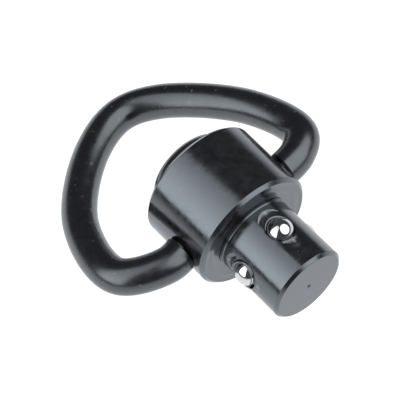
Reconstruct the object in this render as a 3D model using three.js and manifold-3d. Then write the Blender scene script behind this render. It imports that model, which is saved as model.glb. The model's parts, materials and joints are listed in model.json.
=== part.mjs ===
// Push-button quick-release sling swivel: a turned steel body with a ball-lock plug,
// a bent wire loop hinged across the barrel, and the spring-loaded button that frees the balls.
// Millimetres, +Z up. The swivel lies on its side: X is the loop's hinge axis, the plug points
// to -Y, and the barrel's side and the loop's tip both touch the floor at z = 0.

import * as THREE from "three";
import { mergeVertices } from "three/addons/utils/BufferGeometryUtils.js";
import Module from "manifold-3d";

const wasm = await Module();
wasm.setup();

// Driving dimensions. Stations along Y are counted from the seat face, rearward is positive.
const plugRadius = 4.75;
const plugLength = 9.15;
const barrelRadius = 7.6;
const barrelLength = 9.87;
const wireRadius = 2.1;
const ballRadius = 1.5875;
const ballStation = -3.66;
const ballReach = 0.82;
const ballTurn = 12;
const travel = 2.2;
const hingeStation = 3.96;
const buttonRadius = 5.25;
const buttonRise = 2.25;
const slip = 0.05;

// Sizes worked out from those above.
const ballDrop = ballReach - 0.02;
const ballCentre = plugRadius + ballReach - ballRadius;
const rampSlope = ballDrop / travel;
const rampAngle = Math.atan(rampSlope);
const stemBore = 2.6;
const stemRadius = 2.45;
const neckRadius = 1.45;
const boreEnd = -plugLength + 1.25;
const pocketFloor = 1.0;
const pocketRadius = 3.9;
const seatFloor = 5.9;
const seatRadius = buttonRadius + 0.2;
const buttonUnder = seatFloor + travel + 0.2;
const buttonTop = barrelLength + buttonRise;
const pinRadius = 1.5;
const pinEnd = 5.2;
const shoulder = barrelRadius + 0.15;
const ringTurns = 56;

// The loop's centreline, as [across, along] the loop's own plane from the hinge axis.
// The bent wire is not quite even: its -X corner stands further out than its +X one.
const loopPoints = [
  [6.4, -0.1],
  [10.4, 0.6],
  [12.8, 2.85],
  [11.55, 11.35],
  [5.2, 20.55],
  [0.75, 22.65],
  [-5.3, 20.35],
  [-12.9, 12.1],
  [-14.55, 2.5],
  [-9.8, -0.65],
  [-6.4, -0.2],
];
const loopSteps = 72;
const loopSides = 16;
const loopReach = Math.max(...loopPoints.map((point) => point[1]));
const loopDrop = Math.asin((barrelRadius - wireRadius) / loopReach);

const springWire = 0.3;
const springRadius = 3.1;
const springTurns = 5;

function radians(degrees) {
  return (degrees * Math.PI) / 180;
}

// Turns a three.js geometry into a manifold solid.
function solid(geometry) {
  const plain = geometry.clone();
  plain.deleteAttribute("normal");
  plain.deleteAttribute("uv");
  const merged = mergeVertices(plain, 1e-5);
  const mesh = new wasm.Mesh({
    numProp: 3,
    vertProperties: new Float32Array(merged.attributes.position.array),
    triVerts: new Uint32Array(merged.index.array),
  });
  mesh.merge();
  return new wasm.Manifold(mesh);
}

// Turns a manifold solid back into a three.js geometry.
function geometryOf(body) {
  const mesh = body.getMesh();
  const geometry = new THREE.BufferGeometry();
  geometry.setAttribute("position", new THREE.BufferAttribute(new Float32Array(mesh.vertProperties), 3));
  geometry.setIndex(new THREE.BufferAttribute(new Uint32Array(mesh.triVerts), 1));
  geometry.computeVertexNormals();
  return geometry;
}

// A solid of revolution about Y from [radius, station] points that start and end on the axis.
function turned(points, segments = ringTurns) {
  return new THREE.LatheGeometry(
    points.map((point) => new THREE.Vector2(point[0], point[1])),
    segments
  );
}

// Points of a quarter ellipse from the side of a turned piece up to its top.
function roundedEdge(sideRadius, topRadius, low, high, steps) {
  const points = [];
  for (let step = 0; step <= steps; step += 1) {
    const angle = (step / steps) * (Math.PI / 2);
    points.push([
      topRadius + (sideRadius - topRadius) * Math.cos(angle),
      low + (high - low) * Math.sin(angle),
    ]);
  }
  return points;
}

// The outward direction of one lock ball, seen along the plug.
function ballDirection(index) {
  const angle = radians(ballTurn + 90 * index);
  return new THREE.Vector3(Math.cos(angle), 0, -Math.sin(angle));
}

// A cylinder whose axis points along a direction, from one distance to another.
function rod(radius, from, to, direction, station, segments) {
  const geometry = new THREE.CylinderGeometry(radius, radius, to - from, segments);
  geometry.translate(0, (from + to) / 2, 0);
  const turn = new THREE.Quaternion().setFromUnitVectors(new THREE.Vector3(0, 1, 0), direction);
  geometry.applyQuaternion(turn);
  geometry.translate(0, station, 0);
  return geometry;
}

// Body: plug, barrel, stepped bore from the rear, ball seats and hinge-pin holes.
function buildBody() {
  const edge = 0.4;
  const rearEdge = 0.46;
  const plugEdge = 0.35;
  const reliefRadius = plugRadius + 0.7;
  const reliefDepth = 0.15;
  const dimpleRadius = 0.32;
  const shell = solid(turned([
    [0, -plugLength + 0.22],
    [dimpleRadius, -plugLength],
    [plugRadius - plugEdge, -plugLength],
    [plugRadius, -plugLength + plugEdge],
    [plugRadius, reliefDepth],
    [reliefRadius, reliefDepth],
    [reliefRadius, 0],
    [barrelRadius - edge, 0],
    [barrelRadius, edge],
    [barrelRadius, barrelLength - rearEdge],
    [barrelRadius - rearEdge, barrelLength],
    [seatRadius + 0.2, barrelLength],
    [seatRadius, barrelLength - 0.2],
    [seatRadius, seatFloor],
    [pocketRadius, seatFloor],
    [pocketRadius, pocketFloor],
    [stemBore, pocketFloor],
    [stemBore, boreEnd],
    [0, boreEnd],
  ]));
  const cuts = [];
  for (let index = 0; index < 4; index += 1) {
    const direction = ballDirection(index);
    const seatR = ballRadius + 0.06;
    const ball = new THREE.SphereGeometry(seatR, 24, 14);
    const place = direction.clone().multiplyScalar(ballCentre);
    ball.translate(place.x, ballStation, place.z);
    cuts.push(solid(ball));
    cuts.push(solid(rod(seatR, stemBore * 0.8, ballCentre, direction, ballStation, 24)));
  }
  for (const side of [1, -1]) {
    const across = new THREE.Vector3(side, 0, 0);
    cuts.push(solid(rod(pinRadius + 0.1, pinEnd - 0.3, barrelRadius + 1, across, hingeStation, 24)));
  }
  return geometryOf(cuts.reduce((body, cut) => body.subtract(cut), shell));
}

// Loop: one length of round wire, bent, with its ends turned down to hinge pins.
function buildLoop() {
  const path = new THREE.CatmullRomCurve3(
    loopPoints.map((point) => new THREE.Vector3(
      point[0],
      hingeStation + point[1] * Math.cos(loopDrop),
      -point[1] * Math.sin(loopDrop)
    )),
    false,
    "centripetal"
  );
  const section = new THREE.Shape();
  for (let step = 0; step < loopSides; step += 1) {
    const angle = (step / loopSides) * 2 * Math.PI;
    const x = wireRadius * Math.cos(angle);
    const y = wireRadius * Math.sin(angle);
    if (step === 0) {
      section.moveTo(x, y);
    } else {
      section.lineTo(x, y);
    }
  }
  section.closePath();
  const wire = solid(new THREE.ExtrudeGeometry(section, {
    steps: loopSteps,
    extrudePath: path,
    bevelEnabled: false,
  }));
  const room = new THREE.BoxGeometry(2 * shoulder, 12, 12);
  room.translate(0, hingeStation, 0);
  let loop = wire.subtract(solid(room));
  for (const side of [1, -1]) {
    const across = new THREE.Vector3(side, 0, 0);
    loop = loop.add(solid(rod(pinRadius, pinEnd, shoulder + 0.4, across, hingeStation, 24)));
  }
  return geometryOf(loop);
}

// Button: a flat-domed cap with a blind socket underneath for the stem.
function buildButton() {
  const edgeStart = buttonTop - 1.05;
  const crownRadius = buttonRadius - 1.05;
  const socketRadius = pinRadius + slip;
  const socketEnd = buttonUnder + 1.6;
  const points = [
    [0, socketEnd],
    [socketRadius, socketEnd],
    [socketRadius, buttonUnder],
    [buttonRadius - 0.2, buttonUnder],
    [buttonRadius, buttonUnder + 0.2],
    ...roundedEdge(buttonRadius, crownRadius, edgeStart, buttonTop - 0.12, 7),
    [crownRadius * 0.5, buttonTop - 0.03],
    [0, buttonTop],
  ];
  return turned(points);
}

// Stem: pressed into the button; its cone lets the balls sink as it moves forward.
function buildStem() {
  const ballGap = 0.03;
  const cornerLag =
    (ballRadius + ballGap - Math.cos(rampAngle) * (ballCentre - stemRadius)) / Math.sin(rampAngle);
  const landBack = ballStation - cornerLag;
  const rampEnd = landBack + (stemRadius - neckRadius) / rampSlope;
  const tip = boreEnd + travel + 0.35;
  const shankStart = ballStation + ballRadius + travel + 0.12;
  return turned([
    [0, tip],
    [stemRadius - 0.3, tip],
    [stemRadius, tip + 0.3],
    [stemRadius, landBack],
    [neckRadius, rampEnd],
    [neckRadius, shankStart - 0.1],
    [stemRadius, shankStart + 0.1],
    [stemRadius, buttonUnder - slip],
    [pinRadius, buttonUnder - slip],
    [pinRadius, buttonUnder + 1.5],
    [0, buttonUnder + 1.5],
  ], 40);
}

// Spring: an open coil between the pocket floor and the button's underside.
function buildSpring() {
  const low = pocketFloor + springWire + slip;
  const high = buttonUnder - springWire - slip;
  class Helix extends THREE.Curve {
    getPoint(t, target = new THREE.Vector3()) {
      const angle = 2 * Math.PI * springTurns * t;
      return target.set(springRadius * Math.cos(angle), low + (high - low) * t, springRadius * Math.sin(angle));
    }
  }
  const section = new THREE.Shape();
  section.absarc(0, 0, springWire, 0, 2 * Math.PI, false);
  return new THREE.ExtrudeGeometry(section, {
    steps: springTurns * 18,
    curveSegments: 3,
    extrudePath: new Helix(),
    bevelEnabled: false,
  });
}

// Lock ball: a bearing ball held out through its seat.
function buildBall(index) {
  const ball = new THREE.SphereGeometry(ballRadius, 22, 14);
  const place = ballDirection(index).multiplyScalar(ballCentre);
  ball.translate(place.x, ballStation, place.z);
  return ball;
}

function material(color, roughness, metalness) {
  return new THREE.MeshStandardMaterial({ color, roughness, metalness });
}

const pieces = [
  ["swivel_body", buildBody(), material(0x24262a, 0.35, 0.8)],
  ["wire_loop", buildLoop(), material(0x1b1d20, 0.28, 0.4)],
  ["push_button", buildButton(), material(0x24262a, 0.35, 0.8)],
  ["lock_stem", buildStem(), material(0x8c8f94, 0.3, 1.0)],
  ["return_spring", buildSpring(), material(0x9a9da2, 0.3, 1.0)],
];
for (let index = 0; index < 4; index += 1) {
  pieces.push([`lock_ball_${index + 1}`, buildBall(index), material(0xd8dadd, 0.08, 1.0)]);
}

// Raise everything onto the floor and centre the whole on the origin.
const whole = new THREE.Box3();
for (const [, geometry] of pieces) {
  geometry.computeBoundingBox();
  whole.union(geometry.boundingBox);
}
const centre = whole.getCenter(new THREE.Vector3());
const swivel = new THREE.Group();
for (const [name, geometry, finish] of pieces) {
  geometry.translate(-centre.x, -centre.y, barrelRadius);
  const mesh = new THREE.Mesh(geometry, finish);
  mesh.name = name;
  swivel.add(mesh);
}

export default swivel;
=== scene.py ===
"""A push-button sling swivel: turned black body with lock balls, push button and bent wire loop."""

import json
import math

import bmesh
import bpy
from mathutils import Euler, Matrix, Vector, noise


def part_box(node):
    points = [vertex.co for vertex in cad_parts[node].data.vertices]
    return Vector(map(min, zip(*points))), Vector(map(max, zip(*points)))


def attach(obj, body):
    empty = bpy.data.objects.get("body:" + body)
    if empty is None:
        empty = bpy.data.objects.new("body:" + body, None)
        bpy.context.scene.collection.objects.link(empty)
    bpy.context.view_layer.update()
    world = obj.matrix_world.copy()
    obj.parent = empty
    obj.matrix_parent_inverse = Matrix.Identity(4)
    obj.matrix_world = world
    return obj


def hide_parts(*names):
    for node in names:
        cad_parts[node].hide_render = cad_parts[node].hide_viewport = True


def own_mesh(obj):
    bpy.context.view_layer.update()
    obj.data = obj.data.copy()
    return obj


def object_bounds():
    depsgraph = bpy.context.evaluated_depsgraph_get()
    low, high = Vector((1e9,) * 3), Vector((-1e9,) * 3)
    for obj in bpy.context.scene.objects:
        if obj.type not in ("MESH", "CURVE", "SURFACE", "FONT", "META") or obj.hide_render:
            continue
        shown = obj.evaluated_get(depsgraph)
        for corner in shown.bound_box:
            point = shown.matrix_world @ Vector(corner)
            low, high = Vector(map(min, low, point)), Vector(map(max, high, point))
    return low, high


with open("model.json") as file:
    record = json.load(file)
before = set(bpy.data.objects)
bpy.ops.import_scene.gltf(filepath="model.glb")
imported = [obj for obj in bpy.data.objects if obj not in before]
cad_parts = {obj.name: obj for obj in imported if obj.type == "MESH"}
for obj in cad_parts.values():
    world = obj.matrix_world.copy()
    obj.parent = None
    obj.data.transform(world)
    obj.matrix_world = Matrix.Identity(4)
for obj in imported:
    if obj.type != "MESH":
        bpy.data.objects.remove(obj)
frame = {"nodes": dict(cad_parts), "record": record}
cad_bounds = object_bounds()
record = frame["record"]

MM = 0.001

# Places taken from the CAD model, in metres.
body_low, body_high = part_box("swivel_body")
BARREL_R = (body_high.z - body_low.z) / 2
AXIS_X = (body_low.x + body_high.x) / 2
AXIS_Z = BARREL_R
REAR_Y = body_high.y
TIP_Y = body_low.y
SEAT_Y = next(m["pos_m"][1] for m in record["mounts"] if m["name"] == "seat_face")
HINGE = Vector(next(j["pos_m"] for j in record["behaviour"]["joints"] if j["name"] == "loop_swing"))
BALLS = ["lock_ball_1", "lock_ball_2", "lock_ball_3", "lock_ball_4"]
BALL_R = (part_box(BALLS[0])[1].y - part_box(BALLS[0])[0].y) / 2
PLUG_R = 4.75 * MM

# Sizes of the details, in metres.
FRONT_CHAMFER = 0.4 * MM
REAR_CHAMFER = 0.46 * MM
PLUG_EDGE = 0.36 * MM
STEM_BORE = 2.6 * MM
POCKET_R = 3.9 * MM
BUTTON_R = 5.25 * MM
BUTTON_WELL = BUTTON_R + 0.2 * MM
WELL_FLOOR = SEAT_Y + 5.9 * MM
POCKET_FLOOR = SEAT_Y + 1.0 * MM
WIRE_R = 2.1 * MM
PIN_R = 1.5 * MM
RECESS_R = 1.6 * MM
RECESS_DEPTH = 0.22 * MM
STAKE_ROUND = 0.9 * MM
STAKE_DEPTH = 0.11 * MM
PIN_END = 5.2 * MM
SHOULDER = BARREL_R + 0.15 * MM
TURNS = 224


def new_piece(name, bm, body, finish, sharp=35, nodes=()):
    """Makes a named object from a bmesh, rides it on its CAD body and gives it its material."""
    mesh = bpy.data.meshes.new(name)
    bm.to_mesh(mesh)
    bm.free()
    return place_piece(name, mesh, body, finish, sharp, nodes)


def place_piece(name, mesh, body, finish, sharp, nodes):
    """Names, shades, rides and finishes a piece made from a mesh."""
    piece = bpy.data.objects.new(name, mesh)
    bpy.context.scene.collection.objects.link(piece)
    mesh.shade_smooth()
    mesh.set_sharp_from_angle(angle=math.radians(sharp))
    mesh.materials.clear()
    mesh.materials.append(finish)
    if nodes:
        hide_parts(*nodes)
    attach(piece, body)
    return piece


def lathe(profile, turns=TURNS):
    """A closed solid of revolution about the barrel's axis, from (radius, y) points."""
    bm = bmesh.new()
    rings = []
    for radius, y in profile:
        if radius < 1e-9:
            rings.append([bm.verts.new((AXIS_X, y, AXIS_Z))])
            continue
        ring = []
        for step in range(turns):
            angle = 2 * math.pi * step / turns
            ring.append(bm.verts.new((
                AXIS_X + radius * math.cos(angle), y, AXIS_Z + radius * math.sin(angle)
            )))
        rings.append(ring)
    join_rings(bm, rings)
    bmesh.ops.recalc_face_normals(bm, faces=bm.faces)
    return bm


def join_rings(bm, rings):
    """Skins a row of vertex rings; a ring of one vertex closes to a point."""
    for first, second in zip(rings[:-1], rings[1:]):
        count = max(len(first), len(second))
        for step in range(count):
            after = (step + 1) % count
            if len(first) == 1 and len(second) == 1:
                continue
            if len(first) == 1:
                bm.faces.new((first[0], second[after], second[step]))
            elif len(second) == 1:
                bm.faces.new((first[step], first[after], second[0]))
            else:
                bm.faces.new((first[step], first[after], second[after], second[step]))


def outline(corners):
    """A profile through (radius, y, rounding) corners.

    Each rounded corner becomes an arc, with a point just before and after it so that the flats
    on either side shade as flats."""
    points = []
    last = len(corners) - 1
    for index, (radius, y, rounding) in enumerate(corners):
        here = Vector((radius, y))
        if index in (0, last) or rounding == 0:
            points.append(here)
            continue
        before = (Vector(corners[index - 1][:2]) - here).normalized()
        after = (Vector(corners[index + 1][:2]) - here).normalized()
        half = before.angle(after) / 2
        reach = rounding / math.tan(half)
        centre = here + (before + after).normalized() * rounding / math.sin(half)
        start, end = here + before * reach - centre, here + after * reach - centre
        turn = math.atan2(start.x * end.y - start.y * end.x, start.dot(end))
        steps = max(3, round(abs(math.degrees(turn)) / 9))
        support = 0.03 * MM
        points.append(here + before * (reach + support))
        for step in range(steps + 1):
            angle = turn * step / steps
            points.append(centre + Vector((
                start.x * math.cos(angle) - start.y * math.sin(angle),
                start.x * math.sin(angle) + start.y * math.cos(angle),
            )))
        points.append(here + after * (reach + support))
    return [(point.x, point.y) for point in points]


# ---------------------------------------------------------------- materials


class Nodes:
    """A short way to write a material's node tree."""

    def __init__(self, name):
        self.material = bpy.data.materials.new(name)
        self.material.use_nodes = True
        self.tree = self.material.node_tree
        self.shader = self.tree.nodes["Principled BSDF"]

    def add(self, kind, **settings):
        node = self.tree.nodes.new(kind)
        for key, value in settings.items():
            setattr(node, key, value)
        return node

    def link(self, source, target):
        self.tree.links.new(source, target)

    def set(self, **values):
        for key, value in values.items():
            self.shader.inputs[key.replace("_", " ")].default_value = value

    def coordinates(self):
        return self.add("ShaderNodeTexCoord").outputs["Object"]

    def math(self, operation, first, second=None, clamp=False):
        node = self.add("ShaderNodeMath", operation=operation, use_clamp=clamp)
        for index, value in enumerate((first, second)):
            if value is None:
                continue
            if isinstance(value, (int, float)):
                node.inputs[index].default_value = value
            else:
                self.link(value, node.inputs[index])
        return node.outputs[0]

    def noise(self, vector, scale, detail=3.0, roughness=0.5):
        node = self.add("ShaderNodeTexNoise")
        node.inputs["Scale"].default_value = scale
        node.inputs["Detail"].default_value = detail
        node.inputs["Roughness"].default_value = roughness
        self.link(vector, node.inputs["Vector"])
        return node.outputs["Fac"]

    def remap(self, value, low, high, out_low, out_high):
        node = self.add("ShaderNodeMapRange")
        node.inputs["From Min"].default_value = low
        node.inputs["From Max"].default_value = high
        node.inputs["To Min"].default_value = out_low
        node.inputs["To Max"].default_value = out_high
        self.link(value, node.inputs["Value"])
        return node.outputs["Result"]

    def mix_colour(self, factor, first, second):
        node = self.add("ShaderNodeMix", data_type="RGBA")
        self.link(factor, node.inputs["Factor"])
        for index, value in ((6, first), (7, second)):
            if isinstance(value, tuple):
                node.inputs[index].default_value = (*value, 1.0)
            else:
                self.link(value, node.inputs[index])
        return node.outputs[2]

    def bump(self, height, strength, distance, after=None):
        node = self.add("ShaderNodeBump")
        node.inputs["Strength"].default_value = strength
        node.inputs["Distance"].default_value = distance
        self.link(height, node.inputs["Height"])
        if after is not None:
            self.link(after, node.inputs["Normal"])
        return node.outputs["Normal"]

    def turned_vector(self, position):
        """(distance from the barrel's axis, place along it, 0): the same all the way round."""
        shift = self.add("ShaderNodeVectorMath", operation="SUBTRACT")
        shift.inputs[1].default_value = (AXIS_X, 0, AXIS_Z)
        self.link(position, shift.inputs[0])
        flat = self.add("ShaderNodeVectorMath", operation="MULTIPLY")
        flat.inputs[1].default_value = (1, 0, 1)
        self.link(shift.outputs[0], flat.inputs[0])
        length = self.add("ShaderNodeVectorMath", operation="LENGTH")
        self.link(flat.outputs[0], length.inputs[0])
        apart = self.add("ShaderNodeSeparateXYZ")
        self.link(position, apart.inputs[0])
        joined = self.add("ShaderNodeCombineXYZ")
        self.link(length.outputs["Value"], joined.inputs[0])
        self.link(apart.outputs[1], joined.inputs[1])
        return joined.outputs[0]

    def nearness(self, position, points, reach):
        """1 at any of the points, falling to 0 at reach from it."""
        total = None
        for point in points:
            apart = self.add("ShaderNodeVectorMath", operation="DISTANCE")
            apart.inputs[1].default_value = point
            self.link(position, apart.inputs[0])
            near = self.remap(apart.outputs["Value"], 0.0, reach, 1.0, 0.0)
            total = near if total is None else self.math("MAXIMUM", total, near)
        return total


def ball_place(name):
    low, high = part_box(name)
    return (low + high) / 2


def ball_direction(name):
    place = ball_place(name)
    return Vector((place.x - AXIS_X, 0, place.z - AXIS_Z)).normalized()


def stake_places():
    """The middles of the punch marks on either side of each ball, on the plug's surface."""
    places = []
    for ball in BALLS:
        place, out = ball_place(ball), ball_direction(ball)
        surface = Vector((AXIS_X, place.y, AXIS_Z)) + out * PLUG_R
        places += [surface + Vector((0, step, 0)) for step in (-2.2 * MM, 2.5 * MM)]
    return places


def blackened_steel(name, tone=0.003, rough=0.165):
    """Black oxide over turned steel: fine turning marks, faint blotches, cool grey gloss."""
    n = Nodes(name)
    position = n.coordinates()
    turned = n.turned_vector(position)
    marks = n.noise(turned, 9000, 2.0, 0.6)
    coarse = n.noise(turned, 1900, 1.0)
    wavy = n.noise(position, 520, 3.0, 0.6)
    blotches = n.noise(position, 900, 5.0, 0.65)
    grain = n.noise(position, 5200, 3.0, 0.6)
    bare = (0.30, 0.31, 0.32)
    near = n.nearness(position, stake_places(), 1.0 * MM)
    flecks = n.math("GREATER_THAN", n.math("ADD", near, n.noise(position, 3600, 4.0, 0.75)), 1.24)
    pits = n.math("GREATER_THAN", n.noise(position, 1300, 2.0, 0.5), 0.755)
    tint = n.mix_colour(n.remap(blotches, 0.35, 0.65, 0, 1),
                        (tone, tone * 1.04, tone * 1.18), (tone * 4.0, tone * 3.7, tone * 3.6))
    marked = n.mix_colour(n.math("MULTIPLY", pits, 0.2), tint, bare)
    n.link(n.mix_colour(n.math("MULTIPLY", flecks, 0.5), marked, bare),
           n.shader.inputs["Base Color"])
    uneven = n.math("ADD", n.math("MULTIPLY", blotches, 0.6), n.math("MULTIPLY", grain, 0.4))
    scuffed = n.math("MULTIPLY", near, 0.25)
    n.link(n.math("ADD", n.remap(uneven, 0.35, 0.65, rough - 0.05, rough + 0.08), scuffed),
           n.shader.inputs["Roughness"])
    waves = n.bump(wavy, 0.5, 0.03 * MM)
    soft = n.bump(coarse, 0.12, 0.02 * MM, waves)
    fine = n.bump(marks, 0.2, 0.012 * MM, soft)
    mottle = n.bump(blotches, 0.35, 0.012 * MM, fine)
    battered = n.math("MULTIPLY", near, n.noise(position, 2600, 3.0, 0.7))
    n.link(n.bump(battered, 0.8, 0.10 * MM, mottle), n.shader.inputs["Normal"])
    n.set(IOR=2.2, Metallic=0.0, Specular_Tint=(0.84, 0.92, 1.0, 1.0))
    return n.material


def black_coating(name):
    """Glossy black coating on bent wire: faint orange peel and a few dust specks."""
    n = Nodes(name)
    position = n.coordinates()
    peel = n.noise(position, 650, 3.0, 0.55)
    wave = n.noise(position, 180, 2.0)
    dust = n.noise(position, 1500, 1.0, 0.4)
    speck = n.math("GREATER_THAN", dust, 0.735)
    n.link(n.mix_colour(n.math("MULTIPLY", speck, 0.35), (0.004, 0.0042, 0.005), (0.2, 0.19, 0.18)),
           n.shader.inputs["Base Color"])
    n.link(n.remap(peel, 0.3, 0.7, 0.22, 0.32), n.shader.inputs["Roughness"])
    soft = n.bump(wave, 0.25, 0.25 * MM)
    n.link(n.bump(peel, 0.12, 0.06 * MM, soft), n.shader.inputs["Normal"])
    n.set(IOR=2.0, Specular_Tint=(0.88, 0.94, 1.0, 1.0))
    return n.material


def chrome(name):
    """Polished bearing steel with hairline rolling marks."""
    n = Nodes(name)
    position = n.coordinates()
    haze = n.noise(position, 900, 3.0)
    n.link(n.remap(haze, 0.3, 0.7, 0.03, 0.09), n.shader.inputs["Roughness"])
    n.link(n.mix_colour(haze, (0.56, 0.57, 0.58), (0.66, 0.665, 0.67)), n.shader.inputs["Base Color"])
    n.link(n.bump(n.noise(position, 3500, 2.0), 0.03, 0.01 * MM), n.shader.inputs["Normal"])
    n.set(Metallic=1.0)
    return n.material


def plain_steel(name, tone=0.45):
    """Bright machined steel for the hidden working parts."""
    n = Nodes(name)
    position = n.coordinates()
    marks = n.noise(n.turned_vector(position), 7000, 2.0)
    n.link(n.remap(marks, 0.3, 0.7, 0.22, 0.38), n.shader.inputs["Roughness"])
    n.link(n.mix_colour(marks, (tone * 0.85,) * 3, (tone, tone, tone * 1.03)),
           n.shader.inputs["Base Color"])
    n.link(n.bump(marks, 0.15, 0.01 * MM), n.shader.inputs["Normal"])
    n.set(Metallic=1.0)
    return n.material


# ------------------------------------------------------------------- pieces


def cutter(bm, name):
    """A temporary object holding the shapes to be cut away."""
    bmesh.ops.recalc_face_normals(bm, faces=bm.faces)
    mesh = bpy.data.meshes.new(name)
    bm.to_mesh(mesh)
    bm.free()
    obj = bpy.data.objects.new(name, mesh)
    bpy.context.scene.collection.objects.link(obj)
    return obj


def cut(mesh, cutters):
    """The mesh with each cutter taken away from it."""
    target = bpy.data.objects.new("cut_target", mesh)
    bpy.context.scene.collection.objects.link(target)
    for obj in cutters:
        modifier = target.modifiers.new(obj.name, "BOOLEAN")
        modifier.operation = "DIFFERENCE"
        modifier.solver = "EXACT"
        modifier.object = obj
    graph = bpy.context.evaluated_depsgraph_get()
    result = bpy.data.meshes.new_from_object(target.evaluated_get(graph))
    bpy.data.objects.remove(target)
    for obj in cutters:
        bpy.data.objects.remove(obj)
    return result


def capped_tube(bm, path, radii, side, sides=16):
    """A tube of changing radius through path, closed to a point at each end.

    side is a direction that is never along the path."""
    rings = [[bm.verts.new(path[0])]]
    for index in range(1, len(path) - 1):
        along = (path[index + 1] - path[index - 1]).normalized()
        across = along.cross(side).normalized()
        up = across.cross(along)
        rings.append([
            bm.verts.new(path[index] + radii[index] * (
                across * math.cos(2 * math.pi * k / sides) + up * math.sin(2 * math.pi * k / sides)))
            for k in range(sides)
        ])
    rings.append([bm.verts.new(path[-1])])
    join_rings(bm, rings)


def ball_seat_cutters(name):
    """The pocket that a ball rolls in, the lip round it and the two staked crescents beside it."""
    place, out = ball_place(name), ball_direction(name)
    around = out.cross(Vector((0, 1, 0)))
    turn = Matrix((around, Vector((0, 1, 0)), out)).transposed().to_4x4()
    pocket_r = BALL_R + 0.06 * MM
    reach = (place - Vector((AXIS_X, place.y, AXIS_Z))).length
    pocket = bmesh.new()
    bmesh.ops.create_uvsphere(pocket, u_segments=72, v_segments=40, radius=pocket_r,
                              matrix=Matrix.Translation(place) @ turn)
    shaft = bmesh.new()
    depth = reach - STEM_BORE * 0.8
    bmesh.ops.create_cone(shaft, cap_ends=True, segments=72, radius1=pocket_r, radius2=pocket_r,
                          depth=depth, matrix=Matrix.Translation(place - out * depth / 2) @ turn)
    cutters = [cutter(pocket, name + "_pocket"), cutter(shaft, name + "_shaft")]

    def on_surface(ring_r, angle, lift):
        """A point on the plug at ring_r from the ball's axis; angle 0 is towards the seat."""
        sideways = ring_r * math.sin(angle)
        height = math.sqrt(PLUG_R ** 2 - sideways ** 2) - reach + lift
        return place + around * sideways + Vector((0, ring_r * math.cos(angle), 0)) + out * height

    lip = bmesh.new()
    lip_turns, sides = 96, 16
    rings = []
    for step in range(lip_turns):
        angle = 2 * math.pi * step / lip_turns
        centre = on_surface(RECESS_R, angle, 0.02 * MM)
        outward = (around * math.sin(angle) + Vector((0, math.cos(angle), 0))).normalized()
        rings.append([
            lip.verts.new(centre + RECESS_DEPTH * (outward * math.cos(2 * math.pi * k / sides)
                                                   + out * math.sin(2 * math.pi * k / sides)))
            for k in range(sides)
        ])
    join_rings(lip, rings + rings[:1])
    cutters.append(cutter(lip, name + "_lip"))

    for label, middle, ring_r, half_angle in (("_stake_seat", 0.0, 2.38 * MM, 44),
                                              ("_stake_tip", math.pi, 2.2 * MM, 40)):
        stake = bmesh.new()
        steps = 40
        path, radii = [], []
        for step in range(steps + 1):
            share = 2 * step / steps - 1
            lift = STAKE_ROUND - STAKE_DEPTH * (1 - share * share)
            path.append(on_surface(ring_r, middle + share * math.radians(half_angle), lift))
            radii.append(STAKE_ROUND)
        capped_tube(stake, path, radii, out, 40)
        cutters.append(cutter(stake, name + label))
    return cutters


def pin_hole_cutters():
    """The two hinge-pin holes in the barrel's sides."""
    cutters = []
    for side in (1, -1):
        bm = bmesh.new()
        turn = Matrix.Rotation(math.radians(90), 4, "Y")
        inner, outer = PIN_END - 0.3 * MM, BARREL_R + 1 * MM
        middle = HINGE + Vector((side * (inner + outer) / 2, 0, 0))
        bmesh.ops.create_cone(bm, cap_ends=True, segments=64, radius1=PIN_R + 0.1 * MM,
                              radius2=PIN_R + 0.1 * MM, depth=outer - inner,
                              matrix=Matrix.Translation(middle) @ turn)
        cutters.append(cutter(bm, f"pin_hole_{side}"))
    return cutters


def seat_rings():
    """The seat face: slightly dished at its root, with the shallow waves that the tool left."""
    start, end = PLUG_R + 0.12 * MM, BARREL_R - FRONT_CHAMFER - 0.12 * MM
    corners = []
    steps = 90
    for step in range(steps + 1):
        radius = start + (end - start) * step / steps
        dish = 0.05 * MM * max(0, 1 - (radius - start) / (1.1 * MM)) ** 2
        wave = 0.011 * MM * (1 - math.cos(2 * math.pi * (radius - 6.08 * MM) / (1.08 * MM)))
        fine = 0.0012 * MM * math.sin(radius / MM * 38)
        share = min(1, step / 10, (steps - step) / 6)
        corners.append((radius, SEAT_Y + dish + (wave + fine) * share, 0))
    return corners


def side_rings(radius, start, end):
    """Closely spaced points along a straight side, which keep its shading even beside a cut."""
    steps = round((end - start) / (0.2 * MM))
    return [(radius, start + (end - start) * step / steps, 0) for step in range(steps + 1)]


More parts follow.
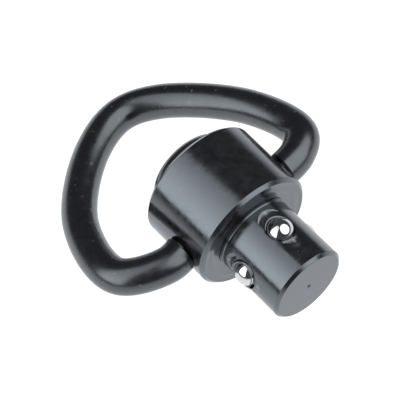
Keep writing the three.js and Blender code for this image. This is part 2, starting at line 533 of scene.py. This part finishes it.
def body_profile():
    """The turned outline, from the plug's end round the outside and back down the bore."""
    small = 0.06 * MM
    return outline([
        (0, TIP_Y + 0.22 * MM, 0),
        (0.1 * MM, TIP_Y + 0.2 * MM, 0),
        (0.24 * MM, TIP_Y + 0.05 * MM, 0.05 * MM),
        (0.36 * MM, TIP_Y, 0.04 * MM),
        (PLUG_R - PLUG_EDGE, TIP_Y, small),
        (PLUG_R, TIP_Y + PLUG_EDGE, small),
        *side_rings(PLUG_R, TIP_Y + PLUG_EDGE + 0.2 * MM, SEAT_Y - 0.35 * MM),
        (PLUG_R, SEAT_Y - 0.3 * MM, 0),
        (PLUG_R + 0.07 * MM, SEAT_Y - 0.2 * MM, 0.05 * MM),
        (PLUG_R + 0.07 * MM, SEAT_Y - 0.12 * MM, 0.04 * MM),
        (PLUG_R, SEAT_Y - 0.02 * MM, 0),
        *seat_rings(),
        (BARREL_R - FRONT_CHAMFER, SEAT_Y, small),
        (BARREL_R, SEAT_Y + FRONT_CHAMFER, small),
        *side_rings(BARREL_R, SEAT_Y + FRONT_CHAMFER + 0.2 * MM, REAR_Y - REAR_CHAMFER - 0.2 * MM),
        (BARREL_R, REAR_Y - REAR_CHAMFER, small),
        (BARREL_R - REAR_CHAMFER, REAR_Y, small),
        (BUTTON_WELL, REAR_Y, 0.15 * MM),
        (BUTTON_WELL, WELL_FLOOR, 0),
        (POCKET_R, WELL_FLOOR, 0),
        (POCKET_R, POCKET_FLOOR, 0),
        (STEM_BORE, POCKET_FLOOR, 0),
        (STEM_BORE, TIP_Y + 1.25 * MM, 0),
        (0, TIP_Y + 1.25 * MM, 0),
    ])


def make_body(finish):
    """The turned body: plug, seat, barrel and bores, with ball seats and pin holes cut in."""
    mesh = bpy.data.meshes.new("turned_blank")
    bm = lathe(body_profile())
    bm.to_mesh(mesh)
    bm.free()
    cutters = pin_hole_cutters()
    for name in BALLS:
        cutters += ball_seat_cutters(name)
    return place_piece("turned_body", cut(mesh, cutters), "swivel", finish, 38,
                       ["swivel_body"])


def make_button(finish):
    """The push button: a shallow dome with a rounded rim."""
    low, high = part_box("push_button")
    top, under = high.y, low.y
    points = outline([
        (0, under + 1.6 * MM, 0),
        (PIN_R + 0.05 * MM, under + 1.6 * MM, 0),
        (PIN_R + 0.05 * MM, under, 0),
        (BUTTON_R, under, 0.2 * MM),
        (BUTTON_R, top - 0.16 * MM, 1.25 * MM),
        (BUTTON_R - 2.2 * MM, top - 0.03 * MM, 0.6 * MM),
        (0, top, 0),
    ])
    return new_piece("button_cap", lathe(points), "plunger", finish, 38,
                     ["push_button"])


# The loop's centreline, in mm across and along its own plane from the hinge axis, as in the CAD.
LOOP_POINTS = [
    (6.4, -0.1), (10.4, 0.6), (12.8, 2.85), (11.55, 11.35), (5.2, 20.55), (0.75, 22.65),
    (-5.3, 20.35), (-12.9, 12.1), (-14.55, 2.5), (-9.8, -0.65), (-6.4, -0.2),
]
LOOP_DROP = math.asin((BARREL_R - WIRE_R) / (22.65 * MM))


def smooth_path(points, share):
    """A point of the centripetal Catmull-Rom curve through points, share running 0 to 1."""
    last = len(points) - 1
    place = share * last
    index = min(int(place), last - 1)
    w = place - index
    p1, p2 = points[index], points[index + 1]
    p0 = points[index - 1] if index > 0 else 2 * p1 - p2
    p3 = points[index + 2] if index + 2 <= last else 2 * p2 - p1
    d0, d1, d2 = [math.sqrt((b - a).length) for a, b in ((p0, p1), (p1, p2), (p2, p3))]
    t1 = ((p1 - p0) / d0 - (p2 - p0) / (d0 + d1) + (p2 - p1) / d1) * d1
    t2 = ((p2 - p1) / d1 - (p3 - p1) / (d1 + d2) + (p3 - p2) / d2) * d1
    return p1 + t1 * w + (-3 * p1 + 3 * p2 - 2 * t1 - t2) * w ** 2 + (2 * p1 - 2 * p2 + t1 + t2) * w ** 3


def loop_axes():
    across = Vector((1, 0, 0))
    along = Vector((0, math.cos(LOOP_DROP), -math.sin(LOOP_DROP)))
    return across, along, across.cross(along)


def make_loop(finish):
    """The bent wire loop, its ends faced off square and turned down to hinge pins."""
    across, along, normal = loop_axes()
    flat = [Vector((x * MM, y * MM)) for x, y in LOOP_POINTS]
    samples = [smooth_path(flat, k / 900) for k in range(901)]
    free = [k for k, p in enumerate(samples) if abs(p.x) > SHOULDER + 0.02 * MM]
    kept = samples[free[0]:free[-1] + 1:3]
    sides = 56
    bm = bmesh.new()
    rings = []

    def ring(centre, direction, radius, square=None):
        """A ring of the wire; square is the plane that it is cut off at, across the hinge axis."""
        outward = Vector((direction.y, -direction.x))
        verts = []
        for k in range(sides):
            angle = 2 * math.pi * k / sides
            flat_point = centre + outward * radius * math.cos(angle)
            if square is not None:
                flat_point += direction * ((square - flat_point.x) / direction.x)
            verts.append(bm.verts.new(HINGE + across * flat_point.x + along * flat_point.y
                                      + normal * radius * math.sin(angle)))
        return verts

    def end_rings(centre, direction, side):
        """Shoulder and pin rings, from the wire inwards to the pin's end."""
        plain = Vector((side, 0)) if direction.x * side > 0 else Vector((-side, 0))
        made = [ring(centre, direction, WIRE_R, side * (SHOULDER + 0.12 * MM)),
                ring(centre, direction, WIRE_R - 0.12 * MM, side * SHOULDER)]
        for radius, place in ((PIN_R + 0.05 * MM, SHOULDER), (PIN_R, SHOULDER - 0.05 * MM),
                              (PIN_R, PIN_END + 0.2 * MM), (PIN_R - 0.2 * MM, PIN_END)):
            made.append(ring(Vector((side * place, 0)), plain, radius))
        made.append([bm.verts.new(HINGE + across * side * PIN_END)])
        return made

    first_direction = (kept[1] - kept[0]).normalized()
    last_direction = (kept[-1] - kept[-2]).normalized()
    rings += end_rings(kept[0], first_direction, 1)[::-1]
    for index in range(2, len(kept) - 2):
        direction = (kept[index + 1] - kept[index - 1]).normalized()
        rings.append(ring(kept[index], direction, WIRE_R))
    rings += end_rings(kept[-1], last_direction, -1)
    join_rings(bm, rings)
    bmesh.ops.recalc_face_normals(bm, faces=bm.faces)
    return new_piece("bent_loop", bm, "loop", finish, 40, ["wire_loop"])


def make_ball(name, finish):
    """One lock ball, smooth enough to mirror its surroundings cleanly."""
    bm = bmesh.new()
    bmesh.ops.create_icosphere(bm, subdivisions=5, radius=BALL_R,
                               matrix=Matrix.Translation(ball_place(name)))
    return new_piece(name.replace("lock_", "polished_"), bm, name.replace("lock_", ""),
                     finish, 60, [name])


def make_stem(finish):
    """The locking stem keeps its CAD shape and gets machined steel."""
    for slot in frame["nodes"]["lock_stem"].material_slots:
        slot.material = finish


def make_spring(finish):
    """The return spring: round wire with its end coils closed up."""
    low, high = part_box("return_spring")
    wire = 0.3 * MM
    coil_r = (high.x - low.x) / 2 - wire
    turns, sides, steps = 6, 14, 260
    bm = bmesh.new()
    rings = []
    length = (high.y - low.y) - 2 * wire
    for step in range(steps + 1):
        share = step / steps
        closed = share * turns
        if closed < 1:
            rise = 0.08 * closed
        elif closed > turns - 1:
            rise = 1 - 0.08 * (turns - closed)
        else:
            rise = 0.08 + 0.84 * (closed - 1) / (turns - 2)
        angle = 2 * math.pi * closed
        outward = Vector((math.cos(angle), 0, math.sin(angle)))
        centre = Vector((AXIS_X, low.y + wire + length * rise, AXIS_Z)) + outward * coil_r
        rings.append([
            bm.verts.new(centre + wire * (outward * math.cos(2 * math.pi * k / sides)
                                          + Vector((0, math.sin(2 * math.pi * k / sides), 0))))
            for k in range(sides)
        ])
    join_rings(bm, rings)
    bm.faces.new(rings[0][::-1])
    bm.faces.new(rings[-1])
    bmesh.ops.recalc_face_normals(bm, faces=bm.faces)
    piece = new_piece("coil_spring", bm, "swivel", finish, 40, ["return_spring"])
    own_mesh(piece)


# -------------------------------------------------------------------- stage


def make_camera():
    """A long lens from above the plug's left, rolled a little, as the object is seen."""
    azimuth, elevation, roll = math.radians(-32.47), math.radians(58.64), math.radians(-8.9)
    low, high = cad_bounds
    aim = (low + high) / 2 + Vector((-1.525, -3.269, 2.366)) * MM
    back = Vector((math.sin(azimuth) * math.cos(elevation),
                   -math.cos(azimuth) * math.cos(elevation), math.sin(elevation)))
    data = bpy.data.cameras.new("camera")
    data.sensor_width = 36
    data.lens = 161.62
    data.clip_start = 0.01
    data.clip_end = 20
    camera = bpy.data.objects.new("camera", data)
    bpy.context.scene.collection.objects.link(camera)
    camera.rotation_mode = "QUATERNION"
    camera.rotation_quaternion = ((-back).to_track_quat("-Z", "Y")
                                  @ Euler((0, 0, roll)).to_quaternion())
    camera.location = aim + back * 0.2
    bpy.context.scene.camera = camera


def make_floor():
    """A white floor that glows with a painted pool of light, brightest round the object, so that it
    prints white.
    """
    bm = bmesh.new()
    bmesh.ops.create_grid(bm, x_segments=1, y_segments=1, size=4)
    mesh = bpy.data.meshes.new("floor")
    bm.to_mesh(mesh)
    bm.free()
    floor = bpy.data.objects.new("floor", mesh)
    floor.location.z = -0.02 * MM
    bpy.context.scene.collection.objects.link(floor)
    n = Nodes("white_floor")
    away = n.add("ShaderNodeVectorMath", operation="LENGTH")
    n.link(n.coordinates(), away.inputs[0])
    # Painted pool of light: the floor's glow is strongest near the object and fades from 0.03 to 0.16 m
    # out.
    painted_light_pool = n.remap(away.outputs["Value"], 0.03, 0.16, 1.07, 0.3)
    n.link(painted_light_pool, n.shader.inputs["Emission Strength"])
    n.set(Base_Color=(0.12, 0.125, 0.13, 1), Roughness=0.9, Specular_IOR_Level=0.0,
          Emission_Color=(0.97, 0.985, 1.0, 1))
    mesh.materials.append(n.material)


def soft_light(name, shape, centre, offset, size, fade, flag=None):
    """A soft box facing the object.

    centre is the (azimuth, elevation) that it faces from, azimuth running from +Y towards +X;
    offset and size are across and up, as tangents of angles seen from the object. fade is
    (bright, dim, direction in which it dims). flag is a direction past which it is masked off."""
    distance = 0.6
    azimuth, elevation = [math.radians(angle) for angle in centre]
    way = Vector((math.sin(azimuth) * math.cos(elevation),
                  math.cos(azimuth) * math.cos(elevation), math.sin(elevation)))
    across = Vector((math.cos(azimuth), -math.sin(azimuth), 0))
    upward = across.cross(way)
    place = (way + across * offset[0] + upward * offset[1]) * distance
    width, height = size[0] * distance, size[1] * distance
    data = bpy.data.lights.new(name, "AREA")
    data.shape = shape
    data.size, data.size_y = width, height
    data.energy = 1
    data.use_nodes = True
    tree = data.node_tree
    emission = tree.nodes["Emission"]
    emission.inputs["Color"].default_value = (0.955, 0.98, 1.0, 1)
    bright, dim, toward = fade
    toward = Vector(toward).normalized()
    area = width * height * (math.pi / 4 if shape in ("DISK", "ELLIPSE") else 1)
    spot = tree.nodes.new("ShaderNodeNewGeometry")

    def along(direction):
        node = tree.nodes.new("ShaderNodeVectorMath")
        node.operation = "DOT_PRODUCT"
        node.inputs[1].default_value = direction
        tree.links.new(spot.outputs["Position"], node.inputs[0])
        return node.outputs["Value"]

    ramp = tree.nodes.new("ShaderNodeMapRange")
    ramp.interpolation_type = "SMOOTHSTEP"
    middle, half = place.dot(toward), min(width, height) / 2
    ramp.inputs["From Min"].default_value = middle - half * 0.6
    ramp.inputs["From Max"].default_value = middle + half
    ramp.inputs["To Min"].default_value = bright * area * math.pi
    ramp.inputs["To Max"].default_value = dim * area * math.pi
    tree.links.new(along(toward), ramp.inputs["Value"])
    strength = ramp.outputs["Result"]
    if flag is not None:
        mask = tree.nodes.new("ShaderNodeMapRange")
        mask.inputs["From Min"].default_value = 0
        mask.inputs["From Max"].default_value = 0.06 * distance
        tree.links.new(along(flag), mask.inputs["Value"])
        product = tree.nodes.new("ShaderNodeMath")
        product.operation = "MULTIPLY"
        tree.links.new(strength, product.inputs[0])
        tree.links.new(mask.outputs["Result"], product.inputs[1])
        strength = product.outputs[0]
    tree.links.new(strength, emission.inputs["Strength"])
    light = bpy.data.objects.new(name, data)
    light.location = place
    light.rotation_mode = "QUATERNION"
    light.rotation_quaternion = Matrix((-across, upward, way)).transposed().to_quaternion()
    light.visible_camera = False
    bpy.context.scene.collection.objects.link(light)


def make_lights():
    """Soft boxes left and right of the camera, under a dim surrounding."""
    front_edge = math.radians(-115)
    flag = Vector((math.cos(front_edge), -math.sin(front_edge), 0))
    soft_light("key", "RECTANGLE", (-77, 55), (-0.21, -0.165), (1.48, 1.73),
               (2.5, 1.2, (0.75, 0.0, 0.66)), flag)
    soft_light("fill", "DISK", (134, 48), (0, 0), (1.55, 1.55), (2.0, 2.0, (0.0, 0.0, 1.0)))
    world = bpy.data.worlds.new("studio")
    world.use_nodes = True
    tree = world.node_tree
    background = tree.nodes["Background"]
    background.inputs["Color"].default_value = (0.9, 0.93, 1.0, 1)
    rays = tree.nodes.new("ShaderNodeLightPath")
    seen = tree.nodes.new("ShaderNodeMapRange")
    seen.inputs["To Min"].default_value = 0.08
    seen.inputs["To Max"].default_value = 1.1
    tree.links.new(rays.outputs["Is Camera Ray"], seen.inputs["Value"])
    tree.links.new(seen.outputs["Result"], background.inputs["Strength"])
    bpy.context.scene.world = world
    bpy.context.scene.view_settings.view_transform = "Standard"


make_camera()
make_floor()
make_lights()
steel = blackened_steel("black_oxide_steel")
make_body(steel)
make_button(steel)
make_loop(black_coating("gloss_black_coating"))
polished = chrome("polished_chrome")
for ball in BALLS:
    make_ball(ball, polished)
machined = plain_steel("machined_steel")
make_stem(machined)
make_spring(machined)
